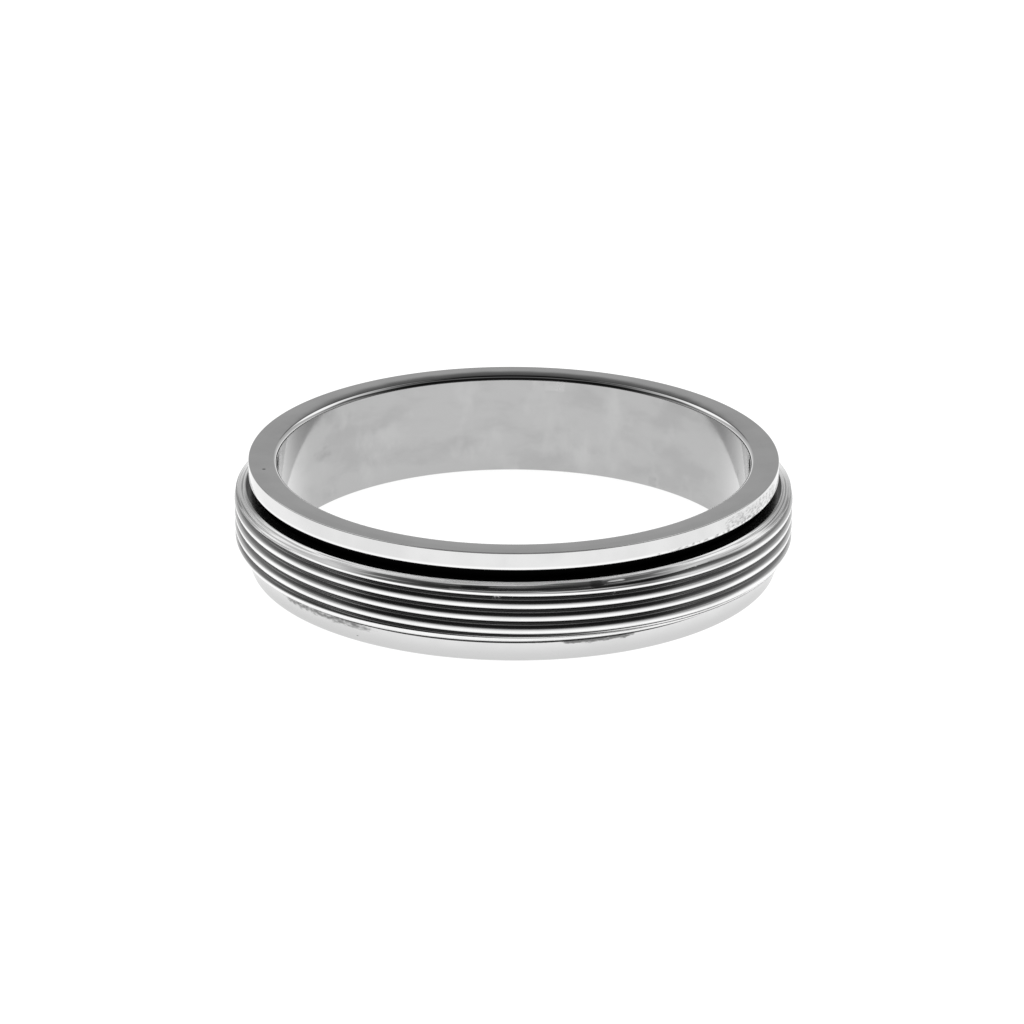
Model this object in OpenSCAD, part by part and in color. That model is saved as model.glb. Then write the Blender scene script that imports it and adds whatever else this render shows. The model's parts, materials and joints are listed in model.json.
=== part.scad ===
// Spinner ring: a flanged finger band with a threaded outer band that turns freely in its channel
// Millimetres. +Z is the ring's axis, the origin is the middle of the face it rests on, -Y is the front.

/* [Finger band] */
// Radius of the finger bore
finger_r = 9.45; // [8.0:0.05:11.0]
// Height of the finger band along the axis
band_w = 4.44; // [4.2:0.02:5.2]
// Thickness of the wall between the finger bore and the channel floor
channel_wall = 0.71; // [0.6:0.01:0.9]
// Depth of the channel below the flanges
flange_depth = 0.44; // [0.35:0.01:0.6]
// Height of the flange the ring rests on
lower_flange_h = 0.86; // [0.6:0.02:1.0]
// Height of the upper flange
upper_flange_h = 0.72; // [0.5:0.02:0.9]

/* [Finger band edges] */
// Round of both edges of the finger bore
bore_edge_r = 0.18; // [0.05:0.01:0.25]
// Round of the lower flange's edge that faces the channel
lower_edge_r = 0.11; // [0.04:0.01:0.25]
// Round of the upper flange's edge that faces the channel
upper_edge_r = 0.07; // [0.04:0.01:0.25]
// Round of the upper flange's outer top edge
top_edge_r = 0.04; // [0.03:0.01:0.2]
// Round of the lower flange's outer bottom edge
foot_edge_r = 0.17; // [0.03:0.01:0.25]

/* [Spinner band] */
// Gap between the channel floor and the spinner's bore
running_gap = 0.1; // [0.06:0.01:0.16]
// Thickness of the spinner from its bore to the thread crests
spinner_wall = 0.92; // [0.8:0.01:1.1]
// Gap between the lower flange and the spinner's underside
seat_gap = 0.06; // [0.03:0.01:0.1]
// Free space between the spinner's top and the upper flange
spinner_play = 0.39; // [0.1:0.01:0.6]
// Chamfer at both ends of the spinner's bore
bore_chamfer = 0.08; // [0.03:0.01:0.1]

/* [Spinner shoulders] */
// Width of the flat inner lip on top
top_lip_w = 0.47; // [0.4:0.01:0.5]
// Width of the flat inner lip underneath
foot_lip_w = 0.42; // [0.36:0.01:0.46]
// Fall of the upper shoulder from its lip, in degrees
top_slope = 24; // [12:1:30]
// Rise of the lower shoulder from its lip, in degrees
foot_slope = 16; // [8:1:22]
// Round between the upper shoulder and the crests
top_round_r = 0.3; // [0.16:0.01:0.34]
// Round between the lower shoulder and the foot of the ribs
foot_round_r = 0.27; // [0.14:0.01:0.3]
// How far the foot's corner lies inside the crests
foot_inset = 0.1; // [0.04:0.01:0.12]
// Height above the underside at which the foot's taper reaches the crests
foot_taper_h = 0.48; // [0.4:0.01:0.6]

/* [Thread] */
// Number of thread starts
thread_starts = 2; // [1:1:3]
// Distance along the axis from one rib to the next
rib_pitch = 0.51; // [0.45:0.01:0.6]
// Radius of the arc that makes each rib
rib_arc_r = 0.285; // [0.285:0.005:0.5]
// Height of a rib crest at the front of the ring
crest_z = 2.56; // [2.3:0.01:2.8]

/* [Facets] */
// Sides of the threaded surface
thread_sides = 90; // [60:6:120]
// Rows of facets round each shoulder
shoulder_rows = 8; // [5:1:12]
// Rows of facets between the shoulders
thread_rows = 27; // [16:1:32]

/* [Hidden] */

round_sides = 120;
full_turn = 360;
front_angle = 270;
right_angle = 90;
cut_margin = 1;

silver = [0.82, 0.82, 0.83];
bright_silver = [0.88, 0.88, 0.89];

channel_r = finger_r + channel_wall;
flange_r = channel_r + flange_depth;
channel_z = lower_flange_h;
channel_h = band_w - lower_flange_h - upper_flange_h;
spinner_bore_r = channel_r + running_gap;
crest_r = spinner_bore_r + spinner_wall;
spinner_z = channel_z + seat_gap;
spinner_h = channel_h - seat_gap - spinner_play;
spinner_top_z = spinner_z + spinner_h;

top_lip_r = spinner_bore_r + top_lip_w;
foot_lip_r = spinner_bore_r + foot_lip_w;
foot_corner_r = crest_r - foot_inset;
top_corner_z = spinner_top_z - (crest_r - top_lip_r) * tan(top_slope);
foot_corner_z = spinner_z + (foot_corner_r - foot_lip_r) * tan(foot_slope);
taper_z = spinner_z + foot_taper_h;
foot_taper = atan2(foot_inset, taper_z - foot_corner_z);

// Section of the spinner: the middle of a round that touches both sides of a corner
function outward(angle) = [cos(angle), sin(angle)];
function round_centre(corner, radius, side_angle, end_angle) =
    corner - radius * (outward(side_angle) + outward(end_angle))
        / (1 + outward(side_angle) * outward(end_angle));
top_centre = round_centre([crest_r, top_corner_z], top_round_r, 0, right_angle - top_slope);
foot_centre = round_centre([foot_corner_r, foot_corner_z], foot_round_r,
    -foot_taper, foot_slope - right_angle);
side_low_z = foot_centre[1] - foot_round_r * sin(foot_taper);
side_high_z = top_centre[1];

// Rounds off the corner that the children's origin sits on, the solid lying towards +X and +Y
module corner_cut(radius) {
    difference() {
        translate([-cut_margin, -cut_margin])
            square([radius + cut_margin, radius + cut_margin]);
        translate([radius, radius])
            circle(r = radius, $fn = round_sides);
        translate([radius, -cut_margin])
            square([cut_margin, radius + cut_margin]);
        translate([-cut_margin, radius])
            square([radius + cut_margin, cut_margin]);
    }
}

// Puts a corner cut at a point of the section, turned so that the solid lies on the given sides
module cut_at(radius, x, z, solid_x, solid_z) {
    translate([x, z])
        mirror([solid_x < 0 ? 1 : 0, 0])
            mirror([0, solid_z < 0 ? 1 : 0])
                corner_cut(radius);
}

// Section of the finger band: a wall with two flanges and rounded edges
module band_section() {
    difference() {
        translate([finger_r, 0])
            square([flange_r - finger_r, band_w]);
        translate([channel_r, channel_z])
            square([flange_r - channel_r + cut_margin, channel_h]);
        cut_at(bore_edge_r, finger_r, 0, 1, 1);
        cut_at(bore_edge_r, finger_r, band_w, 1, -1);
        cut_at(foot_edge_r, flange_r, 0, -1, 1);
        cut_at(top_edge_r, flange_r, band_w, -1, -1);
        cut_at(lower_edge_r, flange_r, channel_z, -1, -1);
        cut_at(upper_edge_r, flange_r, channel_z + channel_h, -1, 1);
    }
}

module base_band() {
    color(silver)
        rotate_extrude($fn = round_sides)
            band_section();
}

// How far the thread's surface lies below the crests at an angle and a height
function thread_turns(angle, z) =
    (z - crest_z) / rib_pitch + thread_starts * (angle - front_angle) / full_turn;
function from_crest(turns) = rib_pitch * (turns - round(turns));
function rib_drop(x) = rib_arc_r - sqrt(rib_arc_r * rib_arc_r - x * x);
function thread_r(angle, z) = crest_r - rib_drop(from_crest(thread_turns(angle, z)));

// Radius of the turned outline between the two rounds
function side_r(z) = crest_r - max(0, taper_z - z) * tan(foot_taper);

// Radius and height of each row of points, from the lower lip to the upper lip
profile = concat(
    [[foot_lip_r, spinner_z]],
    [for (k = [0 : shoulder_rows])
        let (a = foot_slope - right_angle
                 + k * (right_angle - foot_slope - foot_taper) / shoulder_rows)
        foot_centre + foot_round_r * outward(a)],
    [for (k = [1 : thread_rows - 1])
        let (z = side_low_z + k * (side_high_z - side_low_z) / thread_rows)
        [side_r(z), z]],
    [for (k = [0 : shoulder_rows])
        top_centre + top_round_r * outward(k * (right_angle - top_slope) / shoulder_rows)],
    [[top_lip_r, spinner_top_z]]
);

// Solid body of the spinner: the turned outline, cut back to the thread where the thread lies lower
module threaded_body() {
    rows = len(profile);
    points = [
        for (row = profile, j = [0 : thread_sides - 1])
            let (angle = j * full_turn / thread_sides,
                 r = min(row[0], thread_r(angle, row[1])))
            [r * cos(angle), r * sin(angle), row[1]]
    ];
    walls = [
        for (i = [0 : rows - 2], j = [0 : thread_sides - 1])
            let (next = (j + 1) % thread_sides,
                 a = i * thread_sides + j,
                 b = i * thread_sides + next,
                 c = a + thread_sides,
                 d = b + thread_sides)
            each [[a, c, b], [b, c, d]]
    ];
    floor_face = [for (j = [0 : thread_sides - 1]) j];
    roof_face = [for (j = [thread_sides - 1 : -1 : 0]) (rows - 1) * thread_sides + j];
    polyhedron(points = points, faces = concat(walls, [floor_face, roof_face]));
}

// Round bore of the spinner with a chamfer at each end
module spinner_bore() {
    translate([0, 0, spinner_z - cut_margin])
        cylinder(r = spinner_bore_r, h = spinner_h + 2 * cut_margin, $fn = round_sides);
    for (end = [[spinner_z, 0], [spinner_top_z, 1]])
        translate([0, 0, end[0]])
            mirror([0, 0, end[1]])
                translate([0, 0, -cut_margin])
                    cylinder(r1 = spinner_bore_r + bore_chamfer + cut_margin,
                             r2 = spinner_bore_r,
                             h = bore_chamfer + cut_margin, $fn = round_sides);
}

module spinner_band() {
    color(bright_silver)
        difference() {
            threaded_body();
            spinner_bore();
        }
}

base_band();
spinner_band();
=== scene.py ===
"""Looks of the spinner ring: a polished finger band and a ribbed band that turns in its channel.

The pieces are modelled in millimetres, as the part's source is, and settled in metres at the end.
+Z is the ring's axis, -Y its front, and the origin is the middle of the face that it rests on.
"""

import json
import logging
import math
from dataclasses import dataclass
from enum import Enum
from typing import Callable

import bmesh
import bpy
from mathutils import Matrix
from mathutils import Vector

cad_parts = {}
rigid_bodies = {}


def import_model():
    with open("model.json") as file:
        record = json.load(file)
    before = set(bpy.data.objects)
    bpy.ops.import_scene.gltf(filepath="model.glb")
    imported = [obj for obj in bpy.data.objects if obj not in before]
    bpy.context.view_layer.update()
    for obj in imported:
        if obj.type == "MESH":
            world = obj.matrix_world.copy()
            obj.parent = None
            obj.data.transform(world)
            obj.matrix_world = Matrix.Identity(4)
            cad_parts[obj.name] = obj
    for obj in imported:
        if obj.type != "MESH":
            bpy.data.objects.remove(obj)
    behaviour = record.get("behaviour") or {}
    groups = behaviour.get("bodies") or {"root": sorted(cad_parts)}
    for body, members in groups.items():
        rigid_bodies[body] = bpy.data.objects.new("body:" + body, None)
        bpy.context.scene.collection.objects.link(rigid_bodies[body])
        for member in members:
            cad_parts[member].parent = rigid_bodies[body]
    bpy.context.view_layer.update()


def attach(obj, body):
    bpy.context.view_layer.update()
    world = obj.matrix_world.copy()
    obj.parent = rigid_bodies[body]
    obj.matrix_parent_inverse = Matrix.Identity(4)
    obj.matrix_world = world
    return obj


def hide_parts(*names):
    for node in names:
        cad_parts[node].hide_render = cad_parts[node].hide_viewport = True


LOG = logging.getLogger("spinner_ring")
METRES_PER_MM = 0.001
MERGE_GAP = 0.0005
PICK_REACH = 0.005
CUT_GAP = 0.00005
FULL_TURN = 2 * math.pi
QUARTER_TURN = math.pi / 2
SMOOTH_LIMIT = math.radians(20)
UNIT_PLANE_CORNER = (-0.5, -0.5, 0.0)


class Body(Enum):
    """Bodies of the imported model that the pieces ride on."""

    FINGER_BAND = "finger_band"
    SPINNER = "spinner"


class Node(Enum):
    """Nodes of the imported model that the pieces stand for."""

    BASE_BAND = "base_band"
    SPINNER_BAND = "spinner_band"


class Slot(Enum):
    """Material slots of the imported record."""

    BAND_SILVER = "band_silver"
    SPINNER_SILVER = "spinner_silver"


class Side(Enum):
    """The two ends of a piece along the ring's axis."""

    LOWER = -1
    UPPER = 1


class Bench:
    """Steps of hand modelling on one mesh object, in millimetres."""

    def __init__(self, name: str) -> None:
        """Keeps the name that the finished piece and its mesh get."""
        self.name = name
        self.obj: bpy.types.Object | None = None

    @staticmethod
    def deselect() -> None:
        """Leaves edit mode and deselects every object."""
        active = bpy.context.view_layer.objects.active
        if active is not None and active.mode != "OBJECT":
            bpy.ops.object.mode_set(mode="OBJECT")
        for obj in bpy.context.view_layer.objects:
            obj.select_set(False)

    def adopt(self) -> None:
        """Takes the primitive that was just added as the bench's object and opens it in edit mode."""
        self.obj = bpy.context.view_layer.objects.active
        self.obj.name = self.name
        self.obj.data.name = self.name
        bpy.ops.object.transform_apply(location=True, rotation=True, scale=True)
        bpy.ops.object.mode_set(mode="EDIT")
        bpy.ops.mesh.select_mode(type="VERT")

    def start_plane(self, low_r: float, high_r: float, low_z: float, high_z: float) -> None:
        """Adds a plane that stands in the section at the right of the ring.

        Args:
            low_r: radius of its inner side.
            high_r: radius of its outer side.
            low_z: height of its lower side.
            high_z: height of its upper side.
        """
        self.deselect()
        bpy.ops.mesh.primitive_plane_add(size=1, location=(0, 0, 0), rotation=(QUARTER_TURN, 0, 0))
        self.adopt()
        bpy.ops.mesh.select_all(action="SELECT")
        bpy.ops.transform.resize(
            value=(high_r - low_r, 1, high_z - low_z),
            center_override=(0, 0, 0),
        )
        middle = ((low_r + high_r) / 2, 0, (low_z + high_z) / 2)
        bpy.ops.transform.translate(value=middle)

    def pick(self, wanted: Callable[[Vector], bool]) -> int:
        """Selects the vertices whose place is wanted, and nothing else.

        Args:
            wanted: test of a vertex's place.

        Returns:
            How many vertices are selected.
        """
        bpy.ops.mesh.select_mode(type="VERT")
        mesh = bmesh.from_edit_mesh(self.obj.data)
        for element in (*mesh.faces, *mesh.edges, *mesh.verts):
            element.select = False
        chosen = [vertex for vertex in mesh.verts if wanted(vertex.co)]
        for vertex in chosen:
            vertex.select = True
        mesh.select_flush_mode()
        bmesh.update_edit_mesh(self.obj.data)
        return len(chosen)

    def pick_at(self, radius: float, height: float) -> int:
        """Selects the section's vertex at a radius and a height, and returns how many there are."""
        place = Vector((radius, 0, height))
        return self.pick(lambda co: (co - place).length < PICK_REACH)

    def cut(self, place: tuple, normal: tuple, clear_outer: bool = False, fill: bool = False) -> None:
        """Cuts the whole mesh with a plane.

        Args:
            place: a point of the plane.
            normal: direction that the plane faces.
            clear_outer: whether what lies on the side that it faces goes away.
            fill: whether the cut is closed with a face.
        """
        bpy.ops.mesh.select_all(action="SELECT")
        bpy.ops.mesh.bisect(
            plane_co=place,
            plane_no=normal,
            clear_outer=clear_outer,
            use_fill=fill,
            threshold=CUT_GAP,
        )

    def round_corner(self, radius: float, height: float, width: float, segments: int) -> None:
        """Rounds a corner of the section.

        Args:
            radius: the corner's distance from the axis.
            height: the corner's height.
            width: distance from the corner to where the round starts.
            segments: how many straight steps make the round.
        """
        if self.pick_at(radius, height) != 1:
            raise ValueError(f"{self.name}: no corner at {radius:.3f}, {height:.3f}")
        bpy.ops.mesh.bevel(
            offset=width,
            offset_type="OFFSET",
            segments=segments,
            profile=0.5,
            affect="VERTICES",
            clamp_overlap=False,
        )

    def spin(self, steps: int) -> None:
        """Turns the section's outline into a closed ring.

        Args:
            steps: how many steps make a full turn.
        """
        bpy.ops.mesh.select_all(action="SELECT")
        bpy.ops.mesh.delete(type="ONLY_FACE")
        bpy.ops.mesh.select_all(action="SELECT")
        bpy.ops.mesh.spin(steps=steps, angle=FULL_TURN, center=(0, 0, 0), axis=(0, 0, 1))
        self.close_seams()

    def close_seams(self) -> None:
        """Merges doubled vertices and turns all faces outwards."""
        bpy.ops.mesh.select_all(action="SELECT")
        bpy.ops.mesh.remove_doubles(threshold=MERGE_GAP)
        bpy.ops.mesh.select_all(action="SELECT")
        bpy.ops.mesh.normals_make_consistent(inside=False)

    def close(self) -> bpy.types.Object:
        """Leaves edit mode and returns the bench's object."""
        bpy.ops.object.mode_set(mode="OBJECT")
        return self.obj

    def apply(self, kind: str, **settings: object) -> None:
        """Adds a modifier and applies it.

        Args:
            kind: the modifier's type.
            settings: its settings by name.
        """
        self.make_active()
        modifier = self.obj.modifiers.new(kind.lower(), kind)
        for key, value in settings.items():
            setattr(modifier, key, value)
        bpy.ops.object.modifier_apply(modifier=modifier.name)

    def make_active(self) -> None:
        """Makes the bench's object the only selected one."""
        self.deselect()
        self.obj.select_set(True)
        bpy.context.view_layer.objects.active = self.obj

    def settle(self) -> bpy.types.Object:
        """Shades the piece smooth and brings it from millimetres to metres, with its place in its mesh.

        Returns:
            The finished piece.
        """
        self.make_active()
        bpy.ops.object.shade_smooth_by_angle(angle=SMOOTH_LIMIT)
        self.apply("WEIGHTED_NORMAL", mode="FACE_AREA", weight=50, keep_sharp=True)
        self.obj.scale = Vector((METRES_PER_MM,) * 3)
        self.make_active()
        bpy.ops.object.transform_apply(location=True, rotation=True, scale=True)
        return self.obj


@dataclass(frozen=True)
class FingerBand:
    """The band on the finger: a wall with two flanges and a channel between them, in millimetres.

    The worn margin of the top face is given as pairs of radius and fall, from the outside inwards.
    """

    finger_r: float = 9.45
    channel_r: float = 10.16
    flange_r: float = 10.6
    band_w: float = 4.44
    lower_flange_h: float = 0.86
    upper_flange_h: float = 0.72
    bore_edge_r: float = 0.18
    lower_edge_r: float = 0.11
    upper_edge_r: float = 0.07
    top_edge_r: float = 0.04
    foot_edge_r: float = 0.17
    worn_margin: tuple = ((10.24, 0.0), (10.08, 0.002), (9.92, 0.009), (9.76, 0.02), (9.45, 0.045))
    round_segments: int = 10
    turn_steps: int = 480

    @property
    def channel_floor_z(self) -> float:
        """Height of the lower flange's upper face."""
        return self.lower_flange_h

    @property
    def channel_roof_z(self) -> float:
        """Height of the upper flange's lower face."""
        return self.band_w - self.upper_flange_h

    def shape(self) -> bpy.types.Object:
        """Models the band from its section.

        Returns:
            The finished piece.
        """
        bench = Bench("finger_band_polished")
        bench.start_plane(self.finger_r, self.flange_r, 0, self.band_w)
        bench.cut((0, 0, self.channel_floor_z), (0, 0, 1))
        bench.cut((0, 0, self.channel_roof_z), (0, 0, 1))
        bench.cut((self.channel_r, 0, 0), (1, 0, 0))
        self._open_channel(bench)
        self._wear_top(bench)
        self._round_edges(bench)
        bench.spin(self.turn_steps)
        bench.close()
        return bench.settle()

    def dress(self, piece: bpy.types.Object) -> None:
        """Gives the modelled band its silver."""
        BandSilver().cover(piece)

    def _open_channel(self, bench: Bench) -> None:
        """Takes the channel out of the section and makes the rest one face.

        Args:
            bench: the bench with the cut plane.
        """
        middle = Vector(((self.channel_r + self.flange_r) / 2, 0, self.band_w / 2))
        mesh = bmesh.from_edit_mesh(bench.obj.data)
        bpy.ops.mesh.select_mode(type="FACE")
        for face in mesh.faces:
            face.select = (face.calc_center_median() - middle).length < self.upper_flange_h / 2
        mesh.select_flush_mode()
        bmesh.update_edit_mesh(bench.obj.data)
        bpy.ops.mesh.delete(type="FACE")
        bpy.ops.mesh.select_all(action="SELECT")
        bpy.ops.mesh.dissolve_faces()

    def _wear_top(self, bench: Bench) -> None:
        """Lets the top face fall a little towards the bore, as handling has worn it.

        Args:
            bench: the bench with the section.
        """
        for radius, _ in self.worn_margin[:-1]:
            bench.cut((radius, 0, 0), (1, 0, 0))
        for radius, fall in self.worn_margin:
            bench.pick_at(radius, self.band_w)
            bpy.ops.transform.translate(value=(0, 0, -fall))
        bpy.ops.mesh.select_all(action="SELECT")
        bpy.ops.mesh.dissolve_faces()

    def _round_edges(self, bench: Bench) -> None:
        """Rounds the section's corners.

        Args:
            bench: the bench with the section.
        """
        corners = (
            (self.finger_r, 0, self.bore_edge_r),
            (self.finger_r, self.band_w - self.worn_margin[-1][1], self.bore_edge_r),
            (self.flange_r, 0, self.foot_edge_r),
            (self.flange_r, self.band_w, self.top_edge_r),
            (self.flange_r, self.channel_floor_z, self.lower_edge_r),
            (self.flange_r, self.channel_roof_z, self.upper_edge_r),
        )
        for radius, height, round_r in corners:
            bench.round_corner(radius, height, round_r, self.round_segments)


@dataclass(frozen=True)
class Thread:
    """The spinner's rounded thread: its starts and the sizes of its ribs, in millimetres."""

    starts: int = 2
    rib_pitch: float = 0.51
    rib_arc_r: float = 0.285
    crest_z: float = 2.56
    rib_segments: int = 16

    @property
    def lead(self) -> float:
        """How far the thread climbs in a full turn."""
        return self.starts * self.rib_pitch


@dataclass(frozen=True)
class SpinnerBand:
    """The outer band: a turned body with smooth shoulders, cut back to the thread, in millimetres.

    The body's skin stands a hair over the crests, so that the thread alone shapes the ribs.
    """

    bore_r: float = 10.26
    crest_r: float = 11.18
    foot_z: float = 0.92
    top_z: float = 3.33
    top_lip_r: float = 10.73
    foot_lip_r: float = 10.68
    top_slope: float = math.radians(24)
    foot_slope: float = math.radians(16)
    top_round_r: float = 0.3
    foot_round_r: float = 0.27
    foot_r: float = 11.08
    foot_taper_z: float = 1.4
    bore_chamfer: float = 0.08
    thread: Thread = Thread()
    skin: float = 0.002
    shoulder_segments: int = 20
    turn_steps: int = 480
    spare_turns: int = 2

    def shape(self) -> bpy.types.Object:
        """Models the band as the common part of a turned body and a threaded bar.

        Returns:
            The finished piece.
        """
        thread = self._threaded_bar()
        body = self._turned_body()
        body.apply("BOOLEAN", operation="INTERSECT", solver="MANIFOLD", object=thread)
        bpy.data.objects.remove(thread)
        return body.settle()

    def dress(self, piece: bpy.types.Object) -> None:
        """Gives the modelled band its silver."""
        SpinnerSilver().cover(piece)

    def _threaded_bar(self) -> bpy.types.Object:
        """Sweeps the ribs round the axis and closes the sweep as a bar.

        Returns:
            The bar, longer than the spinner at both ends.
        """
        bench = Bench("thread_bar")
        self._draw_ribs(bench)
        bench.close()
        bench.apply(
            "SCREW",
            axis="Z",
            angle=-FULL_TURN,
            screw_offset=self.thread.lead,
            steps=self.turn_steps,
            render_steps=self.turn_steps,
            iterations=self._turns,
            use_merge_vertices=False,
        )
        bench.make_active()
        bpy.ops.object.mode_set(mode="EDIT")
        bench.close_seams()
        half = self.thread.rib_pitch / 2
        bench.cut((0, 0, self.foot_z - half), (0, 0, -1), clear_outer=True, fill=True)
        bench.cut((0, 0, self.top_z + half), (0, 0, 1), clear_outer=True, fill=True)
        bench.close_seams()
        return bench.close()

    @property
    def _turns(self) -> int:
        """How many turns of the thread cover the spinner with a turn to spare at each end."""
        return math.ceil((self.top_z - self.foot_z) / self.thread.lead) + self.spare_turns

    def _draw_ribs(self, bench: Bench) -> None:
        """Draws the outline of one rib for each start, at the front of the ring.

        Args:
            bench: the empty bench.
        """
        thread = self.thread
        half = thread.rib_pitch / 2
        reach = math.asin(half / thread.rib_arc_r)
        bench.deselect()
        bpy.ops.mesh.primitive_plane_add(size=1, location=(0, 0, 0))
        bench.adopt()
        bench.pick(lambda co: co.x > 0 or co.y > 0)
        bpy.ops.mesh.delete(type="VERT")
        bpy.ops.mesh.select_all(action="SELECT")
        low_r = self.crest_r - thread.rib_arc_r * (1 - math.cos(reach))
        crests_below = math.ceil((thread.crest_z - self.foot_z) / thread.rib_pitch) + thread.starts
        low_z = thread.crest_z - crests_below * thread.rib_pitch - half
        target = Vector((0, -low_r, low_z))
        bpy.ops.transform.translate(value=target - Vector(UNIT_PLANE_CORNER))
        centre_r = self.crest_r - thread.rib_arc_r
        for rib in range(thread.starts):
            crest_height = low_z + half + rib * thread.rib_pitch
            here = Vector((0, -low_r, crest_height - half))
            for step in range(1, thread.rib_segments + 1):
                angle = reach * (2 * step / thread.rib_segments - 1)
                there = Vector((
                    0,
                    -(centre_r + thread.rib_arc_r * math.cos(angle)),
                    crest_height + thread.rib_arc_r * math.sin(angle),
                ))
                bpy.ops.mesh.extrude_region_move(TRANSFORM_OT_translate={"value": there - here})
                here = there

    def _turned_body(self) -> Bench:
        """Turns the body's section: bore, lips, sloped shoulders and the rounds to the crests.

        Returns:
            The bench with the body, out of edit mode.
        """
        bench = Bench("spinner_band_ribbed")
        outer_r = self.crest_r + self.skin
        bench.start_plane(self.bore_r, outer_r, self.foot_z, self.top_z)
        bench.cut((self.top_lip_r, 0, 0), (1, 0, 0))
        bench.cut((self.foot_lip_r, 0, 0), (1, 0, 0))
        bench.cut((0, 0, self.foot_taper_z), (0, 0, 1))
        bpy.ops.mesh.select_all(action="SELECT")
        bpy.ops.mesh.dissolve_faces()
        for side, end_z, lip_r, spare_r, corner_r, slope, round_r in (
            (
                Side.LOWER, self.foot_z, self.foot_lip_r, self.top_lip_r,
                self.foot_r, self.foot_slope, self.foot_round_r,
            ),
            (
                Side.UPPER, self.top_z, self.top_lip_r, self.foot_lip_r,
                outer_r, self.top_slope, self.top_round_r,
            ),
        ):
            bench.pick_at(spare_r, end_z)
            bpy.ops.mesh.dissolve_verts()
            fall = (corner_r - lip_r) * math.tan(slope)
            corner_z = end_z - side.value * fall
            bench.pick_at(outer_r, end_z)
            bpy.ops.transform.translate(value=(corner_r - outer_r, 0, corner_z - end_z))
            taper = math.atan2(outer_r - corner_r, self.foot_taper_z - corner_z)
            tangent = round_r * math.tan((QUARTER_TURN - slope - taper) / 2)
            bench.round_corner(corner_r, corner_z, tangent, self.shoulder_segments)
            bench.round_corner(self.bore_r, end_z, self.bore_chamfer, 1)
        bench.pick_at(self.bore_r, self.foot_taper_z)
        bpy.ops.mesh.dissolve_verts()
        bench.spin(self.turn_steps)
        bench.close()
        return bench


class Blend(Enum):
    """Kinds of a Mix node: its data type, its first input and its output."""

    NUMBERS = ("FLOAT", 2, 0)
    COLOURS = ("RGBA", 6, 2)


@dataclass(frozen=True)
class Step:
    """A smooth step: where it is still 0 and where it has reached 1."""

    start: float
    full: float


@dataclass(frozen=True)
class Window:
    """A smooth window: where it opens, where it closes and how wide its two edges are."""

    low: float
    high: float
    soft: float


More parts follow.
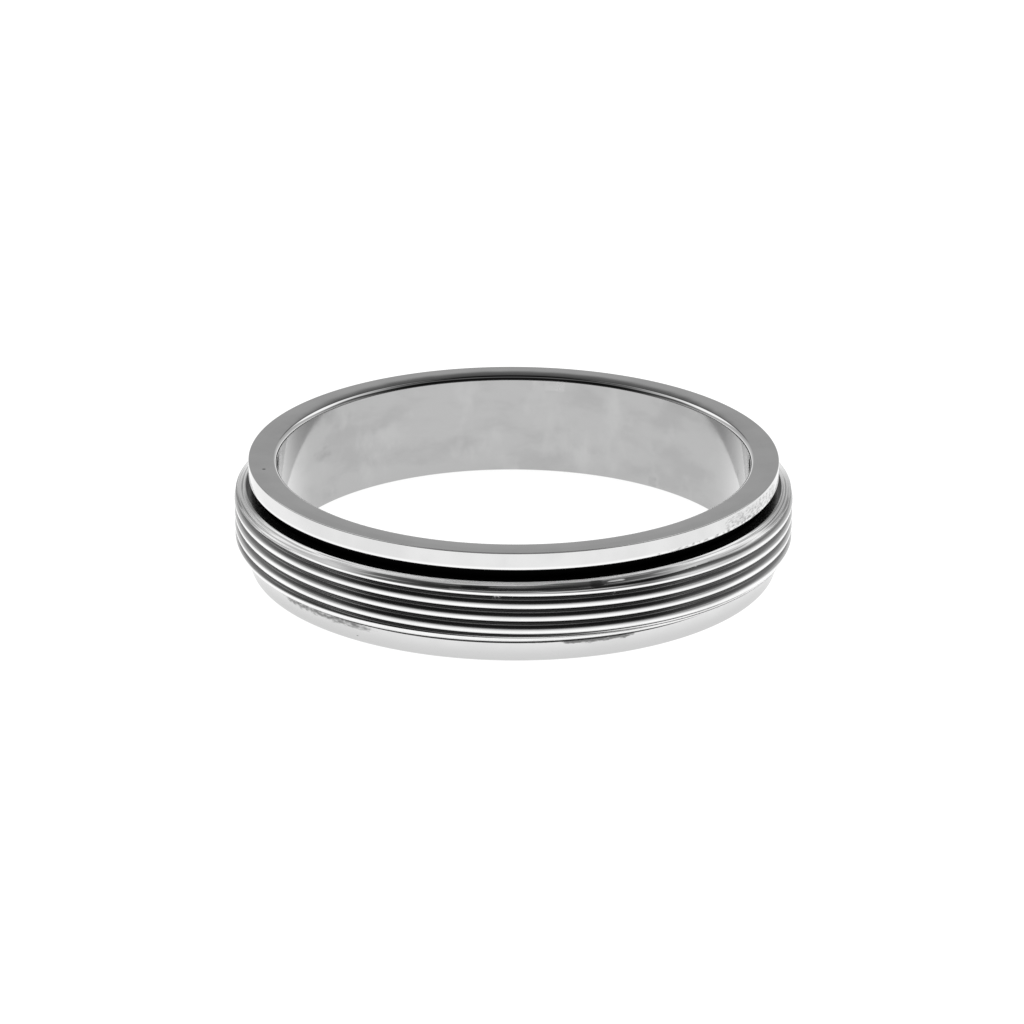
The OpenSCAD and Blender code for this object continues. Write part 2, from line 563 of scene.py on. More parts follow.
class NodeSketch:
    """Adds nodes to a node tree and links them."""

    def __init__(self, tree: bpy.types.NodeTree) -> None:
        """Empties the tree of a material or a world and keeps it."""
        self.tree = tree
        tree.nodes.clear()

    def add(self, kind: str, **settings: object) -> bpy.types.Node:
        """Adds a node.

        Args:
            kind: the node's type.
            settings: its settings by name.

        Returns:
            The node.
        """
        node = self.tree.nodes.new(kind)
        for key, value in settings.items():
            setattr(node, key, value)
        return node

    def feed(self, socket: bpy.types.NodeSocket, value: object) -> None:
        """Links a socket to another node's output, or sets its value.

        Args:
            socket: the input.
            value: an output socket, or the value itself.
        """
        if isinstance(value, bpy.types.NodeSocket):
            self.tree.links.new(value, socket)
        else:
            socket.default_value = value

    def math(self, operation: str, *values: object, clamp: bool = False) -> bpy.types.NodeSocket:
        """Adds a Math node.

        Args:
            operation: what it does.
            values: its inputs in order.
            clamp: whether the result is kept between 0 and 1.

        Returns:
            Its result.
        """
        node = self.add("ShaderNodeMath", operation=operation, use_clamp=clamp)
        for socket, value in zip(node.inputs, values):
            self.feed(socket, value)
        return node.outputs[0]

    def product(self, *values: object) -> bpy.types.NodeSocket:
        """Multiplies values.

        Args:
            values: two or more sockets or numbers.

        Returns:
            Their product.
        """
        total = values[0]
        for value in values[1:]:
            total = self.math("MULTIPLY", total, value)
        return total

    def join(self, across: object, away: object, height: object) -> bpy.types.NodeSocket:
        """Makes a vector of three parts.

        Args:
            across: its first part.
            away: its second part.
            height: its third part.

        Returns:
            The vector.
        """
        node = self.add("ShaderNodeCombineXYZ")
        for socket, value in zip(node.inputs, (across, away, height)):
            self.feed(socket, value)
        return node.outputs[0]

    def band(self, value: object, step: Step) -> bpy.types.NodeSocket:
        """Adds a smooth step.

        Args:
            value: what is tested.
            step: where the step lies.

        Returns:
            The step, from 0 to 1.
        """
        node = self.add("ShaderNodeMapRange", interpolation_type="SMOOTHSTEP", clamp=True)
        self.feed(node.inputs["Value"], value)
        node.inputs["From Min"].default_value = step.start
        node.inputs["From Max"].default_value = step.full
        return node.outputs["Result"]

    def between(self, value: object, window: Window) -> bpy.types.NodeSocket:
        """Adds a smooth window.

        Args:
            value: what is tested.
            window: where the window lies.

        Returns:
            1 inside the window and 0 outside.
        """
        half = window.soft / 2
        opens = self.band(value, Step(window.low - half, window.low + half))
        closes = self.band(value, Step(window.high + half, window.high - half))
        return self.product(opens, closes)

    def noise(self, place: object, scale: float, detail: float) -> bpy.types.NodeSocket:
        """Adds a noise texture.

        Args:
            place: where it is read.
            scale: how many grains fit in one unit.
            detail: how many finer layers it has.

        Returns:
            Its value, from 0 to 1.
        """
        node = self.add("ShaderNodeTexNoise")
        self.feed(node.inputs["Vector"], place)
        node.inputs["Scale"].default_value = scale
        node.inputs["Detail"].default_value = detail
        return node.outputs[0]

    def curve(self, value: object, points: tuple) -> bpy.types.NodeSocket:
        """Reads a grey level off a curve.

        Args:
            value: the place on the curve, from 0 to 1.
            points: pairs of place and level.

        Returns:
            The level as a colour.
        """
        node = self.add("ShaderNodeValToRGB")
        self.feed(node.inputs["Fac"], value)
        stops = node.color_ramp.elements
        while len(stops) < len(points):
            stops.new(1.0)
        for stop, (place, level) in zip(stops, points):
            stop.position = place
            stop.color = (level, level, level, 1)
        return node.outputs["Color"]

    def blend(
        self, share: object, first: object, second: object, kind: Blend = Blend.NUMBERS
    ) -> bpy.types.NodeSocket:
        """Blends two numbers or two colours.

        Args:
            share: how much of the second shows.
            first: what is blended.
            second: what it is blended with.
            kind: whether both are numbers or colours.

        Returns:
            The blend.
        """
        data_type, first_input, result = kind.value
        node = self.add("ShaderNodeMix", data_type=data_type, clamp_factor=True)
        self.feed(node.inputs[0], share)
        self.feed(node.inputs[first_input], first)
        self.feed(node.inputs[first_input + 1], second)
        return node.outputs[result]


class RingSketch(NodeSketch):
    """A material's sketch that knows the places on the ring, in the piece's own millimetres."""

    def __init__(self, tree: bpy.types.NodeTree) -> None:
        """Adds the nodes that work out radius, angle and height.

        Args:
            tree: the material's tree.
        """
        super().__init__(tree)
        scaled = self.add("ShaderNodeVectorMath", operation="SCALE")
        self.feed(scaled.inputs[0], self.add("ShaderNodeTexCoord").outputs["Object"])
        scaled.inputs["Scale"].default_value = 1 / METRES_PER_MM
        self.spot = scaled.outputs[0]
        parts = self.add("ShaderNodeSeparateXYZ")
        self.feed(parts.inputs[0], self.spot)
        self.across, self.away, self.height = parts.outputs
        flat = self.add("ShaderNodeVectorMath", operation="LENGTH")
        self.feed(flat.inputs[0], self.join(self.across, self.away, 0.0))
        self.radius = flat.outputs["Value"]
        self.angle = self.math("ARCTAN2", self.away, self.across)

    def along_turn(self, length: float, width: float) -> bpy.types.NodeSocket:
        """Stretches the coordinates so that a pattern runs along the turn.

        Args:
            length: how long a grain of the pattern is along the turn, in millimetres.
            width: how wide it is across the turn, in millimetres.

        Returns:
            The stretched place.
        """
        return self.join(
            self.product(self.across, 1 / length),
            self.product(self.away, 1 / length),
            self.product(self.math("SUBTRACT", self.height, self.radius), 1 / width),
        )


@dataclass(frozen=True)
class Grain:
    """A pattern along the turn: length and width of its grains in millimetres, and finer layers."""

    length: float
    width: float
    detail: float

    def read(self, sketch: RingSketch) -> bpy.types.NodeSocket:
        """Adds the nodes of the pattern and returns its value, from 0 to 1."""
        return sketch.noise(sketch.along_turn(self.length, self.width), 1.0, self.detail)


@dataclass(frozen=True)
class Cloud:
    """An even pattern: how many of its grains fit in a millimetre, and finer layers."""

    scale: float
    detail: float

    def read(self, sketch: RingSketch) -> bpy.types.NodeSocket:
        """Adds the nodes of the pattern and returns its value, from 0 to 1."""
        return sketch.noise(sketch.spot, self.scale, self.detail)


@dataclass(frozen=True)
class Patch:
    """A stretch of a surface: its angles in degrees, heights in millimetres and soft edges."""

    angles: tuple
    heights: tuple
    edges: tuple

    def mask(self, sketch: RingSketch) -> bpy.types.NodeSocket:
        """Adds the nodes of the patch.

        Args:
            sketch: the material's sketch.

        Returns:
            1 inside the patch and 0 outside.
        """
        angle_edge, height_edge = self.edges
        along = Window(*(math.radians(angle) for angle in (*self.angles, angle_edge)))
        up = Window(*self.heights, height_edge)
        return sketch.product(
            sketch.between(sketch.angle, along),
            sketch.between(sketch.height, up),
        )


@dataclass(frozen=True)
class Mark:
    """A patch with a ragged edge, for stains and for painted reflections: the stretch it lies in, how
    sparse it is and how much it reflects.
    """

    patch: Patch
    sparse: float
    tint: float
    soft: float = 0.3

    def mask(self, sketch: RingSketch, grains: bpy.types.NodeSocket) -> bpy.types.NodeSocket:
        """Adds the nodes of the patch.

        Args:
            sketch: the material's sketch.
            grains: the pattern that makes its edge ragged, from 0 to 1.

        Returns:
            1 on the patch and 0 outside.
        """
        total = sketch.math("ADD", self.patch.mask(sketch), grains)
        return sketch.band(total, Step(self.sparse, self.sparse + self.soft))


@dataclass(frozen=True)
class Layer:
    """One coat over the silver, for its finish and for painted light and shade: where it lies, what it
    reflects and how rough it is.
    """

    mask: bpy.types.NodeSocket
    tint: float
    roughness: float


@dataclass(frozen=True)
class WornSilver:
    """Polished silver with hairlines along the turn, soft clouds and shallow dents."""

    name: str
    tint: float
    cloud_dark: float = 0.93
    gloss: float = 0.05
    wear: float = 0.12
    clouds: Cloud = Cloud(0.6, 3.0)
    cloud_step: Step = Step(0.35, 0.7)
    wear_step: Step = Step(0.3, 0.6)
    hairlines: Grain = Grain(3.0, 0.03, 3.0)
    hairline_step: Step = Step(0.45, 0.8)
    hairline_depth: float = 3.0e-7
    dents: Cloud = Cloud(0.8, 1.0)
    dent_depth: float = 5.0e-6

    def cover(self, piece: bpy.types.Object) -> None:
        """Gives a piece this silver as its only material."""
        piece.data.materials.clear()
        piece.data.materials.append(self.make())

    def make(self) -> bpy.types.Material:
        """Makes the material.

        Returns:
            The material.
        """
        material = bpy.data.materials.new(self.name)
        material.use_nodes = True
        sketch = RingSketch(material.node_tree)
        shader = sketch.add("ShaderNodeBsdfPrincipled")
        output = sketch.add("ShaderNodeOutputMaterial")
        sketch.feed(output.inputs["Surface"], shader.outputs[0])
        shader.inputs["Metallic"].default_value = 1.0
        hairlines = self.hairlines.read(sketch)
        clouds = self.clouds.read(sketch)
        clouded = sketch.band(clouds, self.cloud_step)
        level = sketch.blend(clouded, self.tint, self.tint * self.cloud_dark)
        worn = sketch.product(
            sketch.band(hairlines, self.hairline_step),
            sketch.band(clouds, self.wear_step),
        )
        roughness = sketch.blend(worn, self.gloss, self.wear)
        for layer in self.layers(sketch):
            level = sketch.blend(layer.mask, level, layer.tint)
            roughness = sketch.blend(layer.mask, roughness, layer.roughness)
        sketch.feed(shader.inputs["Base Color"], sketch.join(level, level, level))
        sketch.feed(shader.inputs["Roughness"], roughness)
        bump = sketch.add("ShaderNodeBump")
        bump.inputs["Strength"].default_value = 1.0
        bump.inputs["Distance"].default_value = 1.0
        sketch.feed(bump.inputs["Height"], sketch.math(
            "ADD",
            sketch.product(hairlines, self.hairline_depth),
            sketch.product(self.dents.read(sketch), self.dent_depth),
        ))
        sketch.feed(shader.inputs["Normal"], bump.outputs[0])
        return material

    def layers(self, sketch: RingSketch) -> list[Layer]:
        """Adds the coats over the plain silver, from the lowest up; plain silver has none."""
        return []


@dataclass(frozen=True)
class BandSilver(WornSilver):
    """The finger band's silver: a darker bore, partly a duller finish and partly painted shade, bright
    edges, painted shade and a painted highlight on the flanges, a painted dark reflection on the bore's
    back edge, tarnish, and a channel blackened by oxide and painted shadow.
    """

    name: str = "band_silver"
    tint: float = 0.72
    bore_radii: Step = Step(9.459, 9.455)
    # Darker bore silver: partly a duller finish, partly painted shade of the ring's inside.
    bore_dull_and_shade_tint: float = 0.44
    bore_roughness: float = 0.10
    bore_clouds: Grain = Grain(2.5, 1.2, 4.0)
    bore_cloud_step: Step = Step(0.4, 0.7)
    bore_cloud_tint: float = 0.395
    bore_cloud_roughness: float = 0.15
    bore_smears: Grain = Grain(1.6, 2.6, 5.0)
    bore_smear_step: Step = Step(0.5, 0.72)
    bore_smear_tint: float = 0.475
    # Brighter, glossier bore at a glancing angle: gloss that also paints a sheen on the inner wall's
    # two ends.
    glance_step: Step = Step(0.48, 0.8)
    glance_gloss_and_sheen_tint: float = 0.64
    glance_roughness: float = 0.05
    edge_radii: Step = Step(9.6, 9.56)
    wall_heights: Window = Window(0.2, 4.24, 0.03)
    edge_tint: float = 0.93
    # Painted dark reflection on the bore's upper edge at the back.
    back_edge_heights: Step = Step(2.0, 3.0)
    back_edge_angles: Window = Window(math.radians(48), math.radians(132), math.radians(30))
    back_edge_dark_reflection_tint: float = 0.12
    rim_radii: Step = Step(10.505, 10.545)
    # Painted shade: the lower flange's outer side darker towards the table.
    foot_heights: Step = Step(0.85, 0.25)
    foot_painted_shade_tint: float = 0.6
    # Painted highlight on the upper flange's rounded lower edge.
    rim_low_heights: Window = Window(3.6, 3.86, 0.1)
    rim_low_painted_highlight_tint: float = 0.86
    # Channel blackened: oxide, and a painted shadow of the gap that takes it nearly to black.
    channel_outside: Step = Step(10.565, 10.525)
    channel_inside: Step = Step(9.6, 9.7)
    channel_heights: Window = Window(0.84, 3.74, 0.02)
    channel_oxide_and_shadow_tint: float = 0.004
    channel_roughness: float = 0.55
    tarnish_roughness: float = 0.35
    speckles: Grain = Grain(0.22, 0.09, 5.0)
    smudges: Grain = Grain(0.9, 0.5, 2.0)
    rim_marks: tuple = (
        Mark(Patch((-62.0, -22.0), (3.50, 3.98), (10.0, 0.3)), sparse=1.42, tint=0.35),
        Mark(Patch((-43.0, -10.0), (3.50, 4.45), (12.0, 0.4)), sparse=1.34, tint=0.38, soft=0.4),
        Mark(Patch((-149.0, -119.0), (0.5, 1.4), (12.0, 0.4)), sparse=1.05, tint=0.22, soft=0.6),
        Mark(Patch((-146.0, -124.0), (0.64, 1.4), (8.0, 0.3)), sparse=1.42, tint=0.16),
        Mark(Patch((-80.5, -64.0), (0.62, 1.4), (4.0, 0.26)), sparse=1.05, tint=0.2, soft=0.45),
        Mark(Patch((-87.0, -81.0), (0.72, 1.4), (1.5, 0.1)), sparse=1.42, tint=0.3),
        Mark(Patch((-124.5, -123.9), (0.25, 0.31), (0.3, 0.04)), sparse=1.2, tint=0.35),
    )
    bore_marks: tuple = (
        Mark(Patch((142.8, 147.2), (2.17, 2.85), (2.2, 0.34)), sparse=1.1, tint=0.34, soft=0.9),
        Mark(Patch((145.9, 151.4), (2.05, 2.73), (2.7, 0.34)), sparse=1.15, tint=0.36, soft=0.9),
        Mark(Patch((50.1, 53.7), (0.18, 0.74), (1.8, 0.28)), sparse=1.15, tint=0.36, soft=0.9),
        Mark(Patch((76.8, 82.6), (3.76, 4.3), (2.6, 0.24)), sparse=1.0, tint=0.58, soft=0.9),
    )
    top_marks: tuple = (
        Mark(Patch((-170.2, -169.3), (4.3, 4.6), (0.3, 0.04)), sparse=1.1, tint=0.3),
    )
    top_mark_radii: Window = Window(9.979, 10.099, 0.04)

    def layers(self, sketch: RingSketch) -> list[Layer]:
        """Adds the bore, its edges, the rims with their painted shade and painted highlight, the marks
        and the channel, blackened by oxide and painted shadow.

        Args:
            sketch: the material's sketch.

        Returns:
            The coats from the lowest to the topmost.
        """
        bore = sketch.band(sketch.radius, self.bore_radii)
        rim = sketch.band(sketch.radius, self.rim_radii)
        # Painted shade low on the lower flange's outer side.
        foot = sketch.product(rim, sketch.band(sketch.height, self.foot_heights))
        # Painted highlight on the upper flange's lower edge.
        rim_low = sketch.product(rim, sketch.between(sketch.height, self.rim_low_heights))
        # Channel: oxide and painted shadow.
        channel = sketch.product(
            sketch.band(sketch.radius, self.channel_outside),
            sketch.band(sketch.radius, self.channel_inside),
            sketch.between(sketch.height, self.channel_heights),
        )
        return [
            *self._bore_coats(sketch, bore),
            *self._edge_coats(sketch),
            Layer(foot, self.foot_painted_shade_tint, self.gloss),
            Layer(rim_low, self.rim_low_painted_highlight_tint, self.gloss),
            *self._tarnish(sketch, rim, bore),
            Layer(channel, self.channel_oxide_and_shadow_tint, self.channel_roughness),
        ]

    def _bore_coats(self, sketch: RingSketch, bore: bpy.types.NodeSocket) -> list[Layer]:
        """Adds the bore's darker silver, partly a duller finish and partly painted shade of the ring's
        inside, its clouds and smears, and its gloss at a glancing angle, which also paints a sheen on
        the inner wall's two ends.

        Args:
            sketch: the material's sketch.
            bore: 1 on the bore.

        Returns:
            The coats from the lowest to the topmost.
        """
        clouds = sketch.band(self.bore_clouds.read(sketch), self.bore_cloud_step)
        smears = sketch.band(self.bore_smears.read(sketch), self.bore_smear_step)
        # Layer Weight glance: gloss, and a painted sheen on the inner wall's two ends.
        glance = sketch.band(sketch.add("ShaderNodeLayerWeight").outputs["Facing"], self.glance_step)
        # The first coat is partly painted shade of the ring's inside; the last coat is a painted sheen
        # at a glancing angle.
        return [
            Layer(bore, self.bore_dull_and_shade_tint, self.bore_roughness),
            Layer(sketch.product(bore, clouds), self.bore_cloud_tint, self.bore_cloud_roughness),
            Layer(sketch.product(bore, smears), self.bore_smear_tint, self.bore_roughness),
            Layer(sketch.product(bore, glance), self.glance_gloss_and_sheen_tint, self.glance_roughness),
        ]

    def _edge_coats(self, sketch: RingSketch) -> list[Layer]:
        """Adds the bright rounded edges of the bore and a painted dark reflection on the upper one at
        the back.

        Args:
            sketch: the material's sketch.

        Returns:
            The coats from the lowest to the topmost.
        """
        ends = sketch.math("SUBTRACT", 1.0, sketch.between(sketch.height, self.wall_heights))
        edges = sketch.product(sketch.band(sketch.radius, self.edge_radii), ends)
        # Painted dark reflection on the upper edge at the back.
        back_edge = sketch.product(
            edges,
            sketch.band(sketch.height, self.back_edge_heights),
            sketch.between(sketch.angle, self.back_edge_angles),
        )
        return [
            Layer(edges, self.edge_tint, self.gloss),
            Layer(back_edge, self.back_edge_dark_reflection_tint, self.gloss),
        ]

    def _tarnish(
        self, sketch: RingSketch, rim: bpy.types.NodeSocket, bore: bpy.types.NodeSocket
    ) -> list[Layer]:
        """Adds the marks on the rims, in the bore and on the top face.

        Args:
            sketch: the material's sketch.
            rim: 1 on the outer sides of the flanges.
            bore: 1 on the bore.

        Returns:
            The coats from the lowest to the topmost.
        """
        speckles = self.speckles.read(sketch)
        smudges = self.smudges.read(sketch)
        dot = sketch.between(sketch.radius, self.top_mark_radii)
        return [
            Layer(
                sketch.product(mark.mask(sketch, grains), surface),
                mark.tint,
                self.tarnish_roughness,
            )
            for marks, surface, grains in (
                (self.rim_marks, rim, speckles),
                (self.bore_marks, bore, smudges),
                (self.top_marks, dot, speckles),
            )
            for mark in marks
        ]


@dataclass(frozen=True)
class SpinnerSilver(WornSilver):
    """The spinner's silver: bright ribs, painted shade on the flanks and in the grooves, painted
    reflections and shade on the shoulder, a dark lip of grime and painted shade, and painted shade
    underneath.
    """

    thread: Thread = Thread()
    name: str = "spinner_silver"
    tint: float = 0.9
    gloss: float = 0.13
    wear: float = 0.2
    side_reach: Step = Step(5.0, 7.0)
    threaded_heights: Window = Window(1.25, 3.14, 0.06)
    # Where the painted groove shade shifts towards the sides and the ends.
    side_bulge: Window = Window(5.0, 8.2, 3.0)
    side_shift: float = 0.015
    end_reach: Step = Step(7.6, 9.2)
    end_shift: float = 0.04
    # Painted shade on the ribs: grey on the lower flanks, dark in the grooves, lighter at the sides.
    lower_flank: Step = Step(-0.115, -0.16)
    upper_flank: Step = Step(-0.06, 0.05)
    flank_painted_shade_tint: float = 0.42
    lower_groove: Step = Step(-0.135, -0.2)
    upper_groove: Step = Step(0.01, 0.07)
    groove_painted_shade_tint: float = 0.16
    groove_side_painted_shade_tint: float = 0.3
    groove_roughness: float = 0.2
    shoulder_heights: Step = Step(3.06, 3.14)
    shoulder_radii: Step = Step(10.70, 10.72)
    shoulder_roughness: float = 0.12
    rubs: Grain = Grain(3.0, 0.05, 2.0)
    rub_step: Step = Step(0.5, 0.58)
    rub_roughness: float = 0.3
    streaks: Grain = Grain(4.0, 0.07, 1.0)
    # Painted shade in streaks on the shoulder's left and right ends.
    side_streak_step: Step = Step(0.5, 0.6)
    side_painted_shade_tint: float = 0.45
    # Painted dark reflection on the shoulder's front, lighter at the sides, with lighter painted
    # streaks.
    dark_reflection_front: Step = Step(-5.5, -9.0)
    dark_reflection_climb: Step = Step(0.45, 0.49)
    dark_reflection_heights: Step = Step(2.8, 2.84)
    dark_reflection_radii: Step = Step(10.97, 11.03)
    dark_reflection_wander: float = 0.14
    dark_reflection_bulge: Window = Window(1.2, 6.5, 1.5)
    dark_reflection_spread: float = 0.09
    dark_reflection_tint: float = 0.12
    dark_reflection_side_tint: float = 0.6
    dark_reflection_streak_step: Step = Step(0.55, 0.65)
    dark_reflection_streak_tint: float = 0.42
    # Painted reflections: single dark and light streaks on the shoulder near the front.
    shoulder_painted_reflections: tuple = (
        Mark(Patch((-103.0, -73.5), (3.115, 3.165), (3.0, 0.02)), sparse=1.1, tint=0.42),
        Mark(Patch((-75.2, -71.8), (3.13, 3.30), (2.2, 0.1)), sparse=1.1, tint=0.06),
        Mark(Patch((-71.8, -66.8), (3.19, 3.25), (3.0, 0.04)), sparse=1.15, tint=0.95),
        Mark(Patch((-100.5, -94.5), (3.17, 3.235), (2.0, 0.02)), sparse=1.1, tint=0.05),
    )
    # Inner lip on top, darkened by grime and painted shade under the flange.
    lip_radii: Step = Step(10.75, 10.69)
    lip_heights: Step = Step(3.17, 3.23)
    lip_grime_and_shade_tint: float = 0.1
    lip_roughness: float = 0.3
    # Painted shade underneath the spinner, reaching higher at the left.
    under_heights: Step = Step(0.995, 0.985)
    under_left: Step = Step(-4.0, -8.0)
    under_rise: float = 0.05
    under_painted_shade_tint: float = 0.02
    fleck_grains: Cloud = Cloud(14.0, 2.0)
    fleck_step: Step = Step(0.48, 0.6)
    fleck_tint: float = 0.9
    fleck_roughness: float = 0.7
    flecks: tuple = (
        Patch((-94.3, -92.2), (2.84, 2.92), (0.6, 0.05)),
        Patch((-90.7, -90.1), (2.85, 2.93), (0.3, 0.05)),
        Patch((-70.4, -69.6), (2.79, 2.85), (0.4, 0.04)),
    )

    def layers(self, sketch: RingSketch) -> list[Layer]:
        """Adds the painted shade of the flanks and grooves, the shoulder with its painted reflections,
        the lip's grime and painted shade, the painted shade underneath, and the flecks.

        Args:
            sketch: the material's sketch.

        Returns:
            The coats from the lowest to the topmost.
        """
        side_share = sketch.band(sketch.math("ABSOLUTE", sketch.across), self.side_reach)
        return [
            *self._groove_coats(sketch, side_share),
            *self._shoulder_coats(sketch, side_share),
            *self._end_coats(sketch),
            *self._fleck_coats(sketch),
        ]

    def _groove_coats(self, sketch: RingSketch, side_share: bpy.types.NodeSocket) -> list[Layer]:
        """Adds painted shade: grey on the flanks of the ribs and dark in the grooves between them,
        lighter at the sides.

        Args:
            sketch: the material's sketch.
            side_share: 1 at the left and the right of the ring.

        Returns:
            The coats from the lowest to the topmost.
        """
        offset = self._from_crest(sketch)
        # The painted shade shifts a little at the sides and the ends.
        bulge = sketch.product(sketch.between(sketch.across, self.side_bulge), self.side_shift)
        ends = sketch.band(sketch.math("ABSOLUTE", sketch.across), self.end_reach)
        past = sketch.math(
            "SUBTRACT",
            sketch.math("ADD", offset, bulge),
            sketch.product(ends, self.end_shift),
        )
        threaded = sketch.between(sketch.height, self.threaded_heights)
        flanks, grooves = (
            sketch.math("ADD", sketch.band(offset, lower), sketch.band(past, upper), clamp=True)
            for lower, upper in (
                (self.lower_flank, self.upper_flank),
                (self.lower_groove, self.upper_groove),
            )
        )
        # Painted shade of the grooves.
        dark = sketch.product(threaded, grooves)
        return [
            Layer(sketch.product(threaded, flanks), self.flank_painted_shade_tint, self.gloss),
            Layer(dark, self.groove_painted_shade_tint, self.groove_roughness),
            Layer(sketch.product(dark, side_share), self.groove_side_painted_shade_tint, self.groove_roughness),
        ]

    def _shoulder_coats(self, sketch: RingSketch, side_share: bpy.types.NodeSocket) -> list[Layer]:
        """Adds the upper shoulder: its rubbed streaks, painted shade in streaks at its sides, a painted
        dark reflection at its front with lighter painted streaks, and single painted reflections.

        Args:
            sketch: the material's sketch.
            side_share: 1 at the left and the right of the ring.

        Returns:
            The coats from the lowest to the topmost.
        """
        shoulder = sketch.product(
            sketch.band(sketch.height, self.shoulder_heights),
            sketch.band(sketch.radius, self.shoulder_radii),
        )
        rubs = self.rubs.read(sketch)
        streaks = self.streaks.read(sketch)
        rubbed = sketch.product(shoulder, sketch.band(rubs, self.rub_step))
        # Painted shade in streaks at the sides.
        side_painted_shade = sketch.product(
            shoulder,
            side_share,
            sketch.band(streaks, self.side_streak_step),
        )
        # Painted dark reflection and its lighter painted streaks.
        painted_dark_reflection = self._dark_reflection_mask(sketch, rubs)
        painted_dark_reflection_streaks = sketch.product(painted_dark_reflection, sketch.band(streaks, self.dark_reflection_streak_step))
        return [
            Layer(shoulder, self.tint, self.shoulder_roughness),
            Layer(rubbed, self.tint, self.rub_roughness),
            Layer(side_painted_shade, self.side_painted_shade_tint, self.gloss),
            Layer(painted_dark_reflection, self.dark_reflection_tint, self.gloss),
            Layer(sketch.product(painted_dark_reflection, side_share), self.dark_reflection_side_tint, self.gloss),
            Layer(painted_dark_reflection_streaks, self.dark_reflection_streak_tint, self.gloss),
            # Single painted reflections.
            *(
                Layer(sketch.product(shoulder, mark.mask(sketch, streaks)), mark.tint, self.gloss)
                for mark in self.shoulder_painted_reflections
            ),
        ]

    def _dark_reflection_mask(self, sketch: RingSketch, rubs: bpy.types.NodeSocket) -> bpy.types.NodeSocket:
        """Adds the painted dark reflection on the outer part of the shoulder at the front, above the
        topmost rib.

        Args:
            sketch: the material's sketch.
            rubs: the pattern that makes its inner edge wander.

        Returns:
            1 on the stain and 0 outside.
        """
        wander = sketch.math("ADD", sketch.radius, sketch.product(rubs, self.dark_reflection_wander))
        spread = sketch.product(sketch.between(sketch.across, self.dark_reflection_bulge), self.dark_reflection_spread)
        return sketch.product(
            sketch.band(sketch.away, self.dark_reflection_front),
            sketch.band(self._climb(sketch), self.dark_reflection_climb),
            sketch.band(sketch.height, self.dark_reflection_heights),
            sketch.band(sketch.math("ADD", wander, spread), self.dark_reflection_radii),
        )

    def _end_coats(self, sketch: RingSketch) -> list[Layer]:
        """Adds the inner lip on top, darkened by grime and painted shade, and the painted shade
        underneath, which reaches higher at the left.

        Args:
            sketch: the material's sketch.

        Returns:
            The coats from the lowest to the topmost.
        """
        # Grime and painted shade on the lip.
        lip = sketch.product(
            sketch.band(sketch.radius, self.lip_radii),
            sketch.band(sketch.height, self.lip_heights),
        )
        # Painted shade underneath, reaching higher at the left.
        raised = sketch.math(
            "SUBTRACT",
            sketch.height,
            sketch.product(sketch.band(sketch.across, self.under_left), self.under_rise),
        )
        return [
            Layer(lip, self.lip_grime_and_shade_tint, self.lip_roughness),
            Layer(sketch.band(raised, self.under_heights), self.under_painted_shade_tint, self.lip_roughness),
        ]

    def _fleck_coats(self, sketch: RingSketch) -> list[Layer]:
        """Adds the small light flecks on one rib.

        Args:
            sketch: the material's sketch.

        Returns:
            The coats from the lowest to the topmost.
        """
        grains = sketch.band(self.fleck_grains.read(sketch), self.fleck_step)
        return [
            Layer(sketch.product(fleck.mask(sketch), grains), self.fleck_tint, self.fleck_roughness)
            for fleck in self.flecks
        ]

    def _climb(self, sketch: RingSketch) -> bpy.types.NodeSocket:
        """Works out how far a place lies above the thread's crest of reference.

        Args:
            sketch: the material's sketch.

        Returns:
            The height over that crest at the same angle, in millimetres.
        """
        climb = sketch.math("SUBTRACT", sketch.height, self.thread.crest_z)
        round_share = sketch.product(
            sketch.math("ADD", sketch.angle, QUARTER_TURN),
            self.thread.lead / FULL_TURN,
        )
        return sketch.math("ADD", climb, round_share)

    def _from_crest(self, sketch: RingSketch) -> bpy.types.NodeSocket:
        """Works out how far a place lies above the nearest crest of the thread.

        Args:
            sketch: the material's sketch.

        Returns:
            The height over that crest, below zero underneath it, in millimetres.
        """
        turns = sketch.product(self._climb(sketch), 1 / self.thread.rib_pitch)
        return sketch.product(
            sketch.math("SUBTRACT", turns, sketch.math("ROUND", turns)),
            self.thread.rib_pitch,
        )


@dataclass(frozen=True)
class PhotoCamera:
    """The photograph's viewpoint: in front of the ring, about 21 degrees above the table."""

    target: tuple = (0.0, 0.0, 0.0022192)
    elevation: float = 0.371912
    roll: float = 0.004035
    distance: float = 0.159
    focal_px: float = 3956.0
    frame_px: float = 1024.0
    sensor_mm: float = 36.0
    shift_px: tuple = (-1.53, -6.09)
    clip_span: float = 100.0

    def place(self) -> None:
        """Adds the camera and makes it the scene's."""
        data = bpy.data.cameras.new("photo_camera")
        data.sensor_width = self.sensor_mm
        data.lens = self.focal_px * self.sensor_mm / self.frame_px
        data.shift_x = self.shift_px[0] / self.frame_px
        data.shift_y = self.shift_px[1] / self.frame_px
        data.clip_start = self.distance / self.clip_span
        data.clip_end = self.distance * self.clip_span
        camera = bpy.data.objects.new("photo_camera", data)
        back = Vector((0, -math.cos(self.elevation), math.sin(self.elevation)))
        level = Vector((1, 0, 0))
        upward = back.cross(level)
        right = math.cos(self.roll) * level + math.sin(self.roll) * upward
        up = math.cos(self.roll) * upward - math.sin(self.roll) * level
        turned = Matrix((right, up, back)).transposed().to_4x4()
        turned.translation = Vector(self.target) + self.distance * back
        camera.matrix_world = turned
        bpy.context.scene.collection.objects.link(camera)
        bpy.context.scene.camera = camera


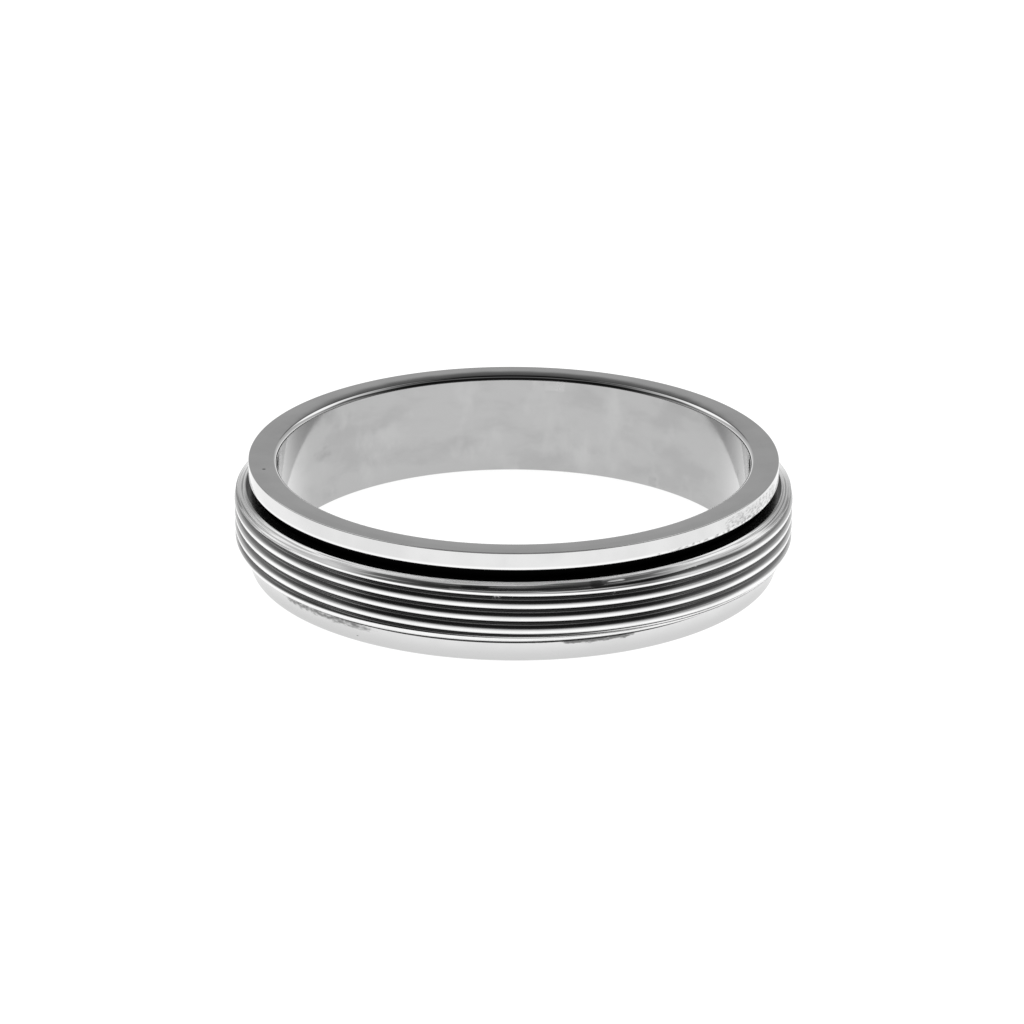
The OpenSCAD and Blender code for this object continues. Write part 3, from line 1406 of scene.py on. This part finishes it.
@dataclass(frozen=True)
class Studio:
    """The stage: a plain pale table under soft light, in a room that is dark overhead.

    Each wall is a ramp of pairs: the height of the direction, from 0 to 1, and the light there.
    """

    table_half: float = 0.9
    table_grey: float = 0.2
    table_glow: float = 0.97
    lamp_height: float = 0.5
    lamp_size: float = 0.6
    lamp_power: float = 1.4
    room_strength: float = 1.0
    back_wall: tuple = (
        (0.0, 1.0), (0.087, 0.85), (0.156, 0.52), (0.208, 0.43), (0.34, 0.42), (0.4, 0.4),
        (0.44, 0.15), (0.5, 0.09), (0.656, 0.06), (0.87, 0.03), (1.0, 0.02),
    )
    front_wall: tuple = (
        (0.0, 0.9), (0.015, 0.35), (0.06, 0.15), (0.16, 0.09), (0.3, 0.06), (0.6, 0.035),
        (0.82, 0.03), (0.87, 0.75), (0.975, 0.8), (0.99, 0.1), (1.0, 0.02),
    )
    side_walls: tuple = (
        (0.0, 0.8), (0.05, 0.5), (0.18, 0.3), (0.36, 0.2), (0.5, 0.12),
        (0.7, 0.1), (0.75, 1.0), (0.92, 1.0), (0.96, 0.1), (1.0, 0.02),
    )
    corner_walls: tuple = (
        (0.0, 1.0), (0.15, 0.6), (0.36, 0.42), (0.48, 0.4),
        (0.55, 1.0), (0.85, 1.0), (0.92, 0.1), (1.0, 0.02),
    )
    front_to_side: Step = Step(-0.6, 0.0)
    side_to_corner: Step = Step(0.2, 0.6)
    corner_to_back: Step = Step(0.93, 0.99)
    least_level_square: float = 0.0001

    def build(self) -> None:
        """Builds the table, the lamp and the room."""
        self._table()
        self._lamp()
        self._room()
        view = bpy.context.scene.view_settings
        view.view_transform = "Standard"
        view.look = "None"
        view.exposure = 0.0
        view.gamma = 1.0

    def _table(self) -> None:
        """Lays the table under the ring."""
        Bench.deselect()
        bpy.ops.mesh.primitive_plane_add(size=2 * self.table_half, location=(0, 0, 0))
        table = bpy.context.view_layer.objects.active
        table.name = "table"
        material = bpy.data.materials.new("pale_table")
        material.use_nodes = True
        sketch = NodeSketch(material.node_tree)
        diffuse = sketch.add("ShaderNodeBsdfDiffuse")
        diffuse.inputs["Color"].default_value = (self.table_grey,) * 3 + (1.0,)
        glow = sketch.add("ShaderNodeEmission")
        glow.inputs["Strength"].default_value = self.table_glow
        both = sketch.add("ShaderNodeAddShader")
        sketch.feed(both.inputs[0], diffuse.outputs[0])
        sketch.feed(both.inputs[1], glow.outputs[0])
        output = sketch.add("ShaderNodeOutputMaterial")
        sketch.feed(output.inputs["Surface"], both.outputs[0])
        table.data.materials.append(material)

    def _lamp(self) -> None:
        """Hangs a broad soft lamp over the table, which the silver doesn't mirror."""
        data = bpy.data.lights.new("soft_lamp", "AREA")
        data.shape = "DISK"
        data.size = self.lamp_size
        data.energy = self.lamp_power
        lamp = bpy.data.objects.new("soft_lamp", data)
        lamp.location = (0, 0, self.lamp_height)
        lamp.visible_glossy = False
        bpy.context.scene.collection.objects.link(lamp)

    def _room(self) -> None:
        """Paints the room's light by direction: bright near the table's far edges, dark overhead."""
        world = bpy.data.worlds.new("room")
        world.use_nodes = True
        sketch = NodeSketch(world.node_tree)
        direction = sketch.add("ShaderNodeTexCoord").outputs["Generated"]
        parts = sketch.add("ShaderNodeSeparateXYZ")
        sketch.feed(parts.inputs[0], direction)
        across, away, height = parts.outputs
        square = sketch.math("ADD", sketch.product(across, across), sketch.product(away, away))
        level = sketch.math("SQRT", sketch.math("MAXIMUM", square, self.least_level_square))
        backwards = sketch.math("DIVIDE", away, level)
        back = sketch.curve(height, self.back_wall)
        front = sketch.curve(height, self.front_wall)
        side = sketch.curve(height, self.side_walls)
        corner = sketch.curve(height, self.corner_walls)
        sideways = sketch.band(backwards, self.front_to_side)
        far_out = sketch.band(backwards, self.side_to_corner)
        straight = sketch.band(backwards, self.corner_to_back)
        near = sketch.blend(sideways, front, side, Blend.COLOURS)
        far = sketch.blend(straight, corner, back, Blend.COLOURS)
        total = sketch.blend(far_out, near, far, Blend.COLOURS)
        background = sketch.add("ShaderNodeBackground")
        sketch.feed(background.inputs["Color"], total)
        background.inputs["Strength"].default_value = self.room_strength
        output = sketch.add("ShaderNodeOutputWorld")
        sketch.feed(output.inputs["Surface"], background.outputs[0])
        bpy.context.scene.world = world


def main() -> None:
    """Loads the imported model, builds the pieces in order and reports each of them."""
    logging.basicConfig(level=logging.INFO, format="%(name)s: %(message)s")
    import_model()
    PhotoCamera().place()
    Studio().build()
    for builder, body, node, slot in (
        (FingerBand(), Body.FINGER_BAND, Node.BASE_BAND, Slot.BAND_SILVER),
        (SpinnerBand(), Body.SPINNER, Node.SPINNER_BAND, Slot.SPINNER_SILVER),
    ):
        piece = builder.shape()
        builder.dress(piece)
        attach(piece, body.value)
        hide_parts(node.value)
        LOG.info("%s: %d faces", piece.name, len(piece.data.polygons))


if __name__ == "__main__":
    main()
